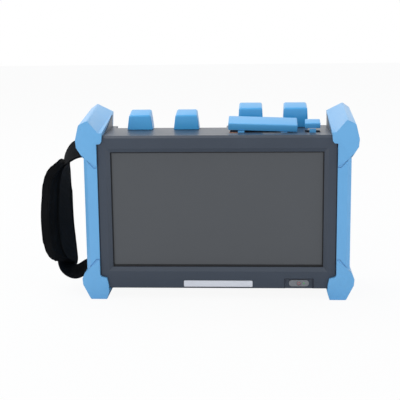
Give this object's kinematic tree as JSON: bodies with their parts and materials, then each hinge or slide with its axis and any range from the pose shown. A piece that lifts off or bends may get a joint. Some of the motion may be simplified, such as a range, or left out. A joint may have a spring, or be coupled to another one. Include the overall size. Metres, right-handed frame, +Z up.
{
  "type": "optical time domain reflectometer",
  "caption": "Hand-held fibre line tester: slate tablet-shaped housing with a wide screen, blue rubber corner bumpers, capped ports along the top and a padded side strap.",
  "frame": {"origin": "on the standing surface, below the middle of the whole object's bounding box, strap included", "axes": "+X to the right of someone reading the screen, +Y from the screen to the back, +Z up"},
  "size_m": [0.2728, 0.073, 0.1627],
  "materials": {
    "shell_slate": "fine moulded texture",
    "bumper_rubber": "satin moulded rubber",
    "cap_rubber": "satin moulded rubber",
    "screen_glass": "anti-glare glass",
    "display": "smooth",
    "gasket_rubber": "matte",
    "label_white": "smooth",
    "key_grey": "fine matte",
    "key_red": "smooth",
    "lens_green": "clear moulded",
    "screw_steel": "zinc plated",
    "bracket_aluminium": "mill finish",
    "board_green": "solder mask",
    "switch_black": "moulded",
    "adapter_metal": "nickel-washed",
    "socket_metal": "tinned",
    "jack_black": "moulded",
    "strap_fabric": "woven nylon"
  },
  "bodies": {
    "housing": {"adapter_deck": "shell_slate", "battery_cover": "shell_slate", "battery_cover_screws": "screw_steel", "battery_pack": "switch_black", "board_spacers": "screw_steel", "bracket_screws": "screw_steel", "bumper_left": "bumper_rubber", "bumper_right": "bumper_rubber", "cap_tether_1": "cap_rubber", "cap_tether_2": "cap_rubber", "cap_tether_3": "cap_rubber", "cap_tether_4": "cap_rubber", "data_cover_tabs": "cap_rubber", "fibre_spool": "switch_black", "front_housing": "shell_slate", "housing_screws": "screw_steel", "key_board": "board_green", "key_surround": "key_grey", "key_switch": "switch_black", "kickstand_pins": "screw_steel", "label_plate": "label_white", "lcd_bracket": "bracket_aluminium", "lcd_module": "display", "loudspeaker": "switch_black", "main_board": "board_green", "network_port": "socket_metal", "optical_adapter_1": "adapter_metal", "optical_adapter_2": "adapter_metal", "optical_adapter_3": "adapter_metal", "optical_adapter_4": "adapter_metal", "optical_module": "bracket_aluminium", "power_cover_tab": "cap_rubber", "power_jack": "jack_black", "rear_housing": "shell_slate", "screen_gasket": "gasket_rubber", "socket_board": "board_green", "socket_panel": "shell_slate", "status_lens": "lens_green", "strap_bar_lower": "screw_steel", "strap_bar_upper": "screw_steel", "strap_pad": "strap_fabric", "strap_webbing_lower": "strap_fabric", "strap_webbing_upper": "strap_fabric", "tether_screws": "screw_steel", "touch_panel": "screen_glass", "usb_a_port": "socket_metal", "usb_b_port": "socket_metal"},
    "data_cover": {"data_port_cover": "cap_rubber"},
    "power_cover": {"power_port_cover": "cap_rubber"},
    "power_key": {"power_button": "key_red"},
    "stand": {"kickstand": "shell_slate"},
    "cap_1": {"dust_cap_1": "cap_rubber"},
    "cap_2": {"dust_cap_2": "cap_rubber"},
    "cap_3": {"dust_cap_3": "cap_rubber"},
    "cap_4": {"dust_cap_4": "cap_rubber"}
  },
  "joints": [
    {"name": "cap_1_hinge", "type": "hinge", "parent": "housing", "child": "cap_1", "pos_m": [-0.0514, 0.0219, 0.143], "axis": [-1, 0, 0], "range_deg": [0, 115]},
    {"name": "cap_2_hinge", "type": "hinge", "parent": "housing", "child": "cap_2", "pos_m": [-0.0106, 0.0219, 0.143], "axis": [-1, 0, 0], "range_deg": [0, 115]},
    {"name": "cap_3_hinge", "type": "hinge", "parent": "housing", "child": "cap_3", "pos_m": [0.0456, 0.035, 0.143], "axis": [-1, 0, 0], "range_deg": [0, 115]},
    {"name": "cap_4_hinge", "type": "hinge", "parent": "housing", "child": "cap_4", "pos_m": [0.0852, 0.035, 0.143], "axis": [-1, 0, 0], "range_deg": [0, 115]},
    {"name": "data_cover_hinge", "type": "hinge", "parent": "housing", "child": "data_cover", "pos_m": [0.056, -0.0153, 0.1434], "axis": [0.9995, 0, -0.0332], "range_deg": [-14, 70], "stiffness_Nm_per_rad": 0.02},
    {"name": "power_cover_hinge", "type": "hinge", "parent": "housing", "child": "power_cover", "pos_m": [0.0987, -0.0133, 0.1453], "axis": [1, 0, 0], "range_deg": [-14, 70], "stiffness_Nm_per_rad": 0.01},
    {"name": "power_key_press", "type": "slide", "parent": "housing", "child": "power_key", "axis": [0, 1, 0], "range_m": [0, 0.0006], "stiffness_N_per_m": 300},
    {"name": "kickstand_hinge", "type": "hinge", "parent": "housing", "child": "stand", "pos_m": [0.0172, 0.0309, 0.1], "axis": [1, 0, 0], "range_deg": [0, 55]}
  ]
}
